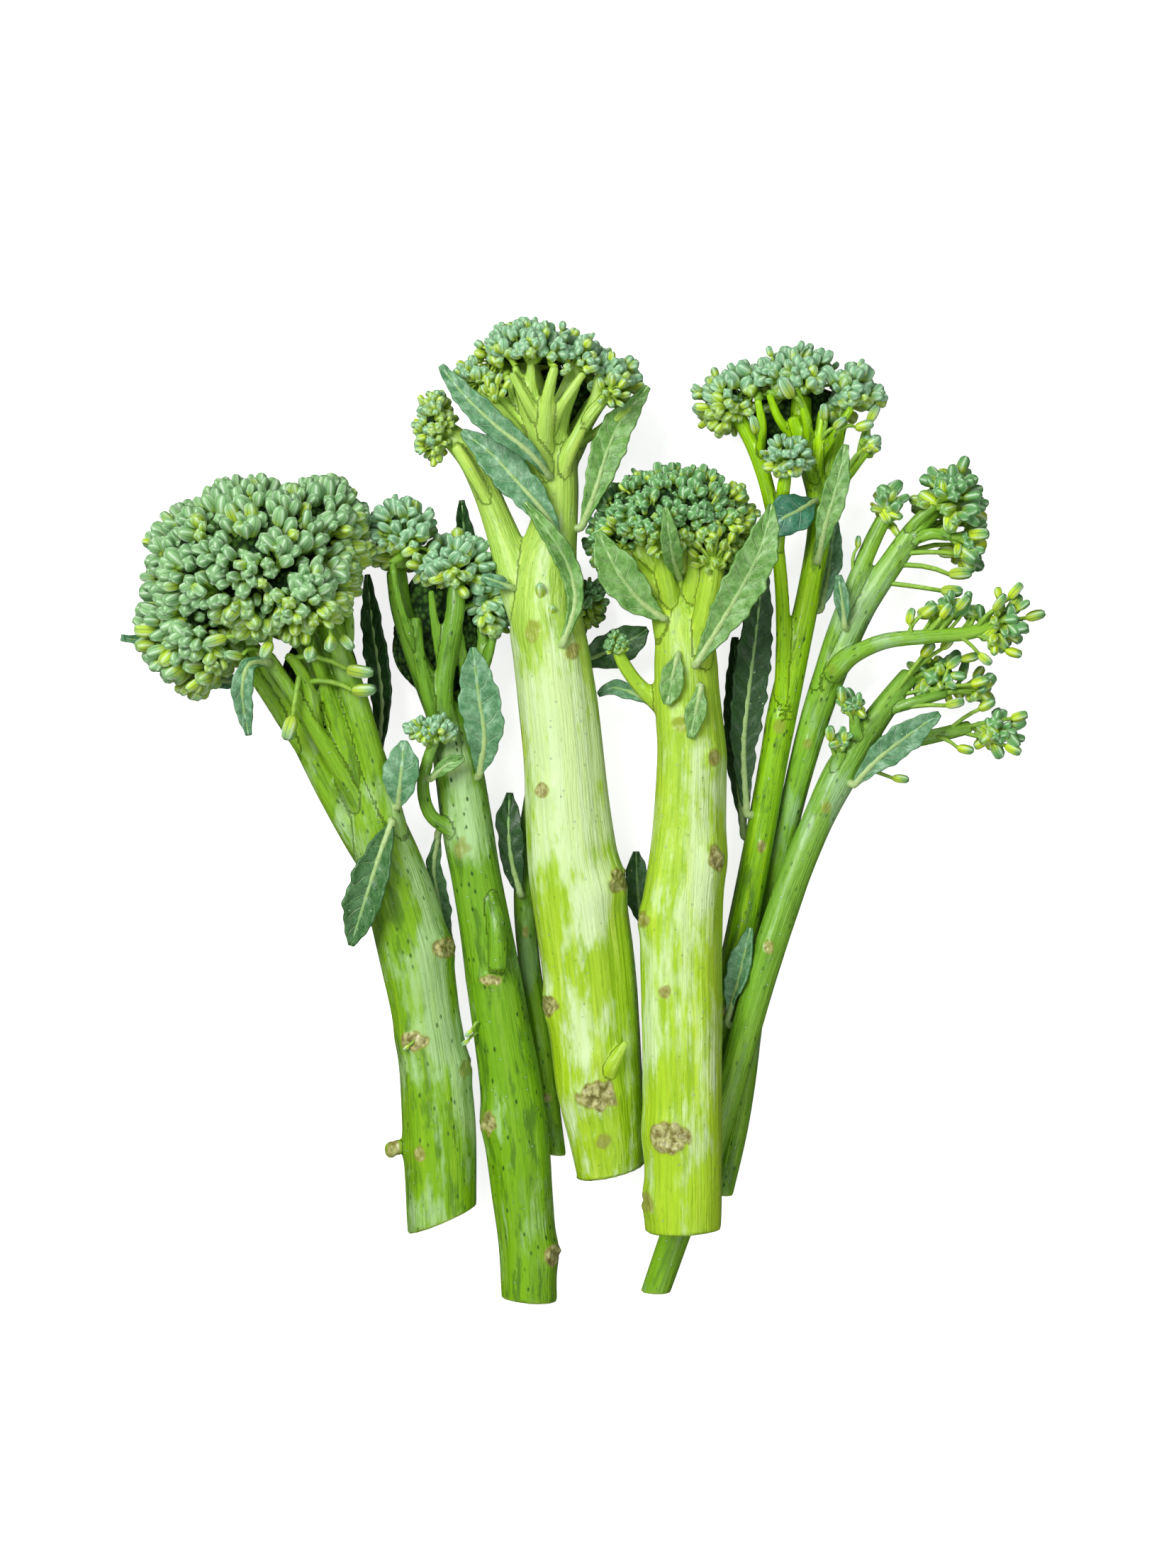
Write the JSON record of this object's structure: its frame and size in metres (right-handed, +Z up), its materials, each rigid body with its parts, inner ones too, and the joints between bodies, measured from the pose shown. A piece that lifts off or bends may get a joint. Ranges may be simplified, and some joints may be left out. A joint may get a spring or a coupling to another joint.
{
  "type": "bunch of broccolini",
  "caption": "Bunch of cut broccolini spears lying on a surface, fanned and stacked, with forked stems, narrow leaves and crowns of closed green buds.",
  "frame": {"origin": "on the surface that the bunch lies on, under the middle of its box", "axes": "+Y from the cut ends to the crowns, +X to the right, +Z up from the surface"},
  "size_m": [0.1688, 0.181, 0.0372],
  "materials": {
    "stem": "fresh green stem, smooth and slightly waxy, with a pale bloom in patches",
    "buds": "closed buds, grey-green and matte, yellow-green at the base",
    "leaf": "blue-green waxy leaf with a pale midrib"
  },
  "bodies": {
    "root": {"spear_1_crown": "buds", "spear_1_leaf_1": "leaf", "spear_1_leaf_2": "leaf", "spear_1_leaf_3": "leaf", "spear_1_leaf_4": "leaf", "spear_1_leaf_5": "leaf", "spear_1_stem": "stem", "spear_2_crown": "buds", "spear_2_leaf_1": "leaf", "spear_2_leaf_2": "leaf", "spear_2_leaf_3": "leaf", "spear_2_leaf_4": "leaf", "spear_2_side_buds": "buds", "spear_2_stem": "stem", "spear_3_crown": "buds", "spear_3_leaf_1": "leaf", "spear_3_leaf_2": "leaf", "spear_3_leaf_3": "leaf", "spear_3_leaf_4": "leaf", "spear_3_leaf_5": "leaf", "spear_3_side_crown": "buds", "spear_3_stem": "stem", "spear_4_crown": "buds", "spear_4_leaf_1": "leaf", "spear_4_leaf_2": "leaf", "spear_4_leaf_3": "leaf", "spear_4_leaf_4": "leaf", "spear_4_leaf_5": "leaf", "spear_4_leaf_6": "leaf", "spear_4_leaf_7": "leaf", "spear_4_side_buds": "buds", "spear_4_stem": "stem", "spear_5_crown": "buds", "spear_5_front_buds": "buds", "spear_5_leaf_1": "leaf", "spear_5_leaf_2": "leaf", "spear_5_leaf_3": "leaf", "spear_5_leaf_4": "leaf", "spear_5_leaf_5": "leaf", "spear_5_leaf_6": "leaf", "spear_5_side_bud": "buds", "spear_5_stem": "stem", "spear_6_crown": "buds", "spear_6_leaf_1": "leaf", "spear_6_left_crown": "buds", "spear_6_right_crown": "buds", "spear_6_stem": "stem", "spear_7_crown": "buds", "spear_7_leaf_1": "leaf", "spear_7_left_buds": "buds", "spear_7_low_buds": "buds", "spear_7_right_crown": "buds", "spear_7_stem": "stem", "spear_8_crown": "buds", "spear_8_leaf_1": "leaf", "spear_8_leaf_2": "leaf", "spear_8_stem": "stem"}
  },
  "joints": []
}
